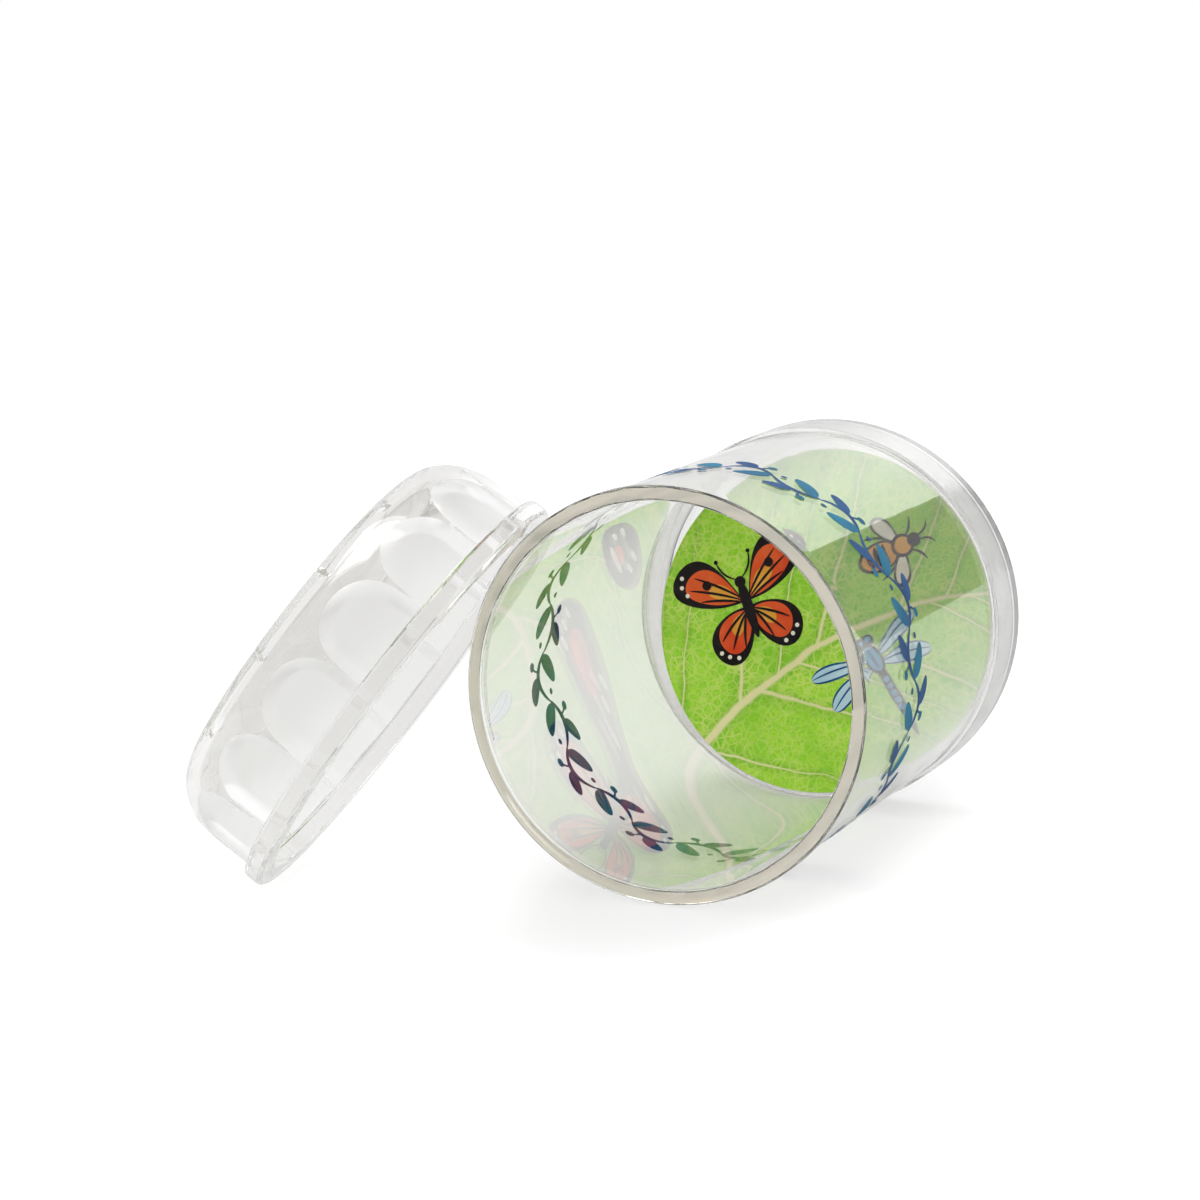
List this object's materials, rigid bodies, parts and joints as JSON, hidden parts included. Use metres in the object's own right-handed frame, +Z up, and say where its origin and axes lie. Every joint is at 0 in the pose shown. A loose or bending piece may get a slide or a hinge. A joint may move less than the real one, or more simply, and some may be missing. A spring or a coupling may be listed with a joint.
{
  "type": "bug catcher jar",
  "caption": "Clear plastic bug jar lying on its side, with a bonded base cap, a loose printed disc inside and a scalloped push-on lid leaning against its lip.",
  "frame": {"origin": "under the middle of the whole, on the surface that the jar and the lid rest on", "axes": "+Z up, +Y along the jar's axis from its mouth to its foot, +X to the right as seen from the mouth"},
  "size_m": [0.1192, 0.1356, 0.0732],
  "materials": {
    "clear_plastic": "clear polished injection-moulded polystyrene",
    "printed_card": "printed card with a satin varnish"
  },
  "bodies": {
    "jar": {"jar_body": "clear_plastic", "base_cap": "clear_plastic"},
    "picture_disc": {"picture_disc": "printed_card"},
    "lid": {"lid": "clear_plastic"}
  },
  "joints": [
    {"name": "disc_slide", "type": "slide", "parent": "jar", "child": "picture_disc", "axis": [0, -1, 0], "range_m": [0, 0.095]},
    {"name": "lid_lift", "type": "slide", "parent": "jar", "child": "lid", "axis": [0, 0, 1], "range_m": [0, 0.08]}
  ]
}
